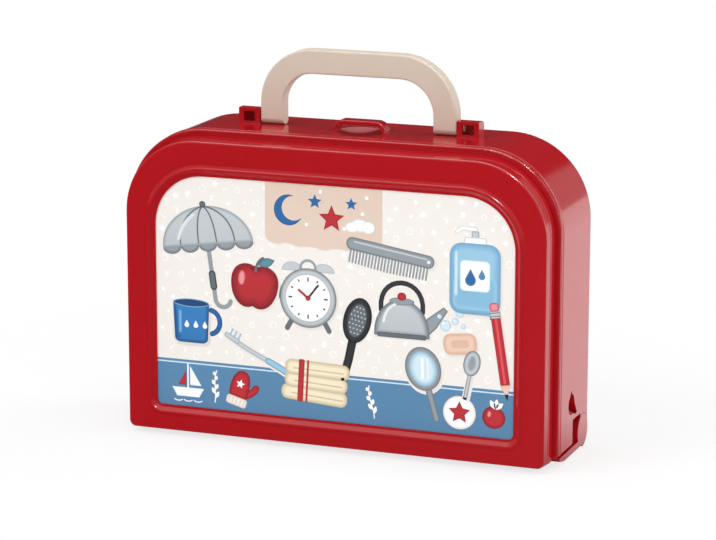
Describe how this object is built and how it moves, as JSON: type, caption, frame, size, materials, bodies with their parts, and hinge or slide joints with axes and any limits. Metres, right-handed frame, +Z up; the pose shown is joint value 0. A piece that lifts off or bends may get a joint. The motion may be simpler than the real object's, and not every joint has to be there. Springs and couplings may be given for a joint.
{
  "type": "toy doctor case",
  "caption": "Arched hard-shell play case with a book-like spine, hinged front lid holding a printed card, folding handle and finger latch, with toy medical instruments inside.",
  "frame": {"origin": "middle of the base that the closed case stands on, halfway across its width and its depth", "axes": "+X across the case from the left side to the right as seen from the lid, +Y from the lid to the back, +Z up"},
  "size_m": [0.3108, 0.0892, 0.2665],
  "materials": {
    "red_plastic": "glossy moulded, smooth",
    "handle_plastic": "fine-grained moulded",
    "printed_card": "coated printed card",
    "steel_pins": "drawn wire",
    "grey_plastic": "smooth moulded",
    "dark_plastic": "smooth moulded",
    "blue_plastic": "smooth moulded",
    "screen_sticker": "glossy sticker",
    "white_sticker": "satin sticker",
    "clear_plastic": "clear moulded, slightly tinted",
    "plaster_film": "soft pebbled film"
  },
  "bodies": {
    "back_shell": {"back_shell": "red_plastic", "jar_body": "red_plastic", "jar_label": "white_sticker", "phone_body": "grey_plastic", "phone_screen": "screen_sticker", "phone_tiles": "white_sticker", "phone_call_tiles": "red_plastic", "scissors_rear": "blue_plastic", "scissors_rivet": "blue_plastic", "hammer_handle": "grey_plastic", "hammer_head": "grey_plastic", "otoscope_body": "grey_plastic", "otoscope_cone": "dark_plastic", "thermometer_body": "grey_plastic", "thermometer_scale": "white_sticker", "syringe_nozzle": "red_plastic", "syringe_barrel": "clear_plastic", "glasses_front": "red_plastic", "plasters": "plaster_film"},
    "spine": {"spine": "red_plastic", "hinge_pins": "steel_pins"},
    "lid": {"lid_shell": "red_plastic", "print_card": "printed_card"},
    "handle": {"handle": "handle_plastic"},
    "latch": {"latch": "red_plastic"},
    "jar_cap": {"jar_cap": "red_plastic"},
    "scissors_half": {"scissors_front": "blue_plastic"},
    "plunger": {"syringe_plunger": "red_plastic"},
    "temple_left": {"glasses_temple_left": "red_plastic"},
    "temple_right": {"glasses_temple_right": "red_plastic"}
  },
  "joints": [
    {"name": "spine_hinge", "type": "hinge", "parent": "back_shell", "child": "spine", "pos_m": [0, 0.03145, 0.012], "axis": [1, 0, 0], "range_deg": [0, 90]},
    {"name": "lid_hinge", "type": "hinge", "parent": "spine", "child": "lid", "pos_m": [0, -0.02585, 0.0037], "axis": [1, 0, 0], "range_deg": [0, 90]},
    {"name": "handle_pivot", "type": "hinge", "parent": "back_shell", "child": "handle", "pos_m": [0, 0.01175, 0.219], "axis": [1, 0, 0], "range_deg": [-85, 85]},
    {"name": "latch_pivot", "type": "hinge", "parent": "back_shell", "child": "latch", "pos_m": [0.003, -0.01635, 0.2112], "axis": [1, 0, 0], "range_deg": [0, 25]},
    {"name": "jar_cap_turn", "type": "hinge", "parent": "back_shell", "child": "jar_cap", "pos_m": [-0.1197, 0.01515, 0.065], "axis": [0, 0, 1], "range_deg": [0, 90]},
    {"name": "scissors_pivot", "type": "hinge", "parent": "back_shell", "child": "scissors_half", "pos_m": [-0.0599, 0.03565, 0.0636], "axis": [0, -1, 0], "range_deg": [0, 40]},
    {"name": "plunger_slide", "type": "slide", "parent": "back_shell", "child": "plunger", "axis": [0, 0, 1], "range_m": [0, 0.046]},
    {"name": "temple_left_fold", "type": "hinge", "parent": "back_shell", "child": "temple_left", "pos_m": [-0.0528, -0.02235, 0.0155], "axis": [0, -1, 0], "range_deg": [0, 90]},
    {"name": "temple_right_fold", "type": "hinge", "parent": "back_shell", "child": "temple_right", "pos_m": [0.0528, -0.01735, 0.0155], "axis": [0, 1, 0], "range_deg": [0, 90]}
  ]
}
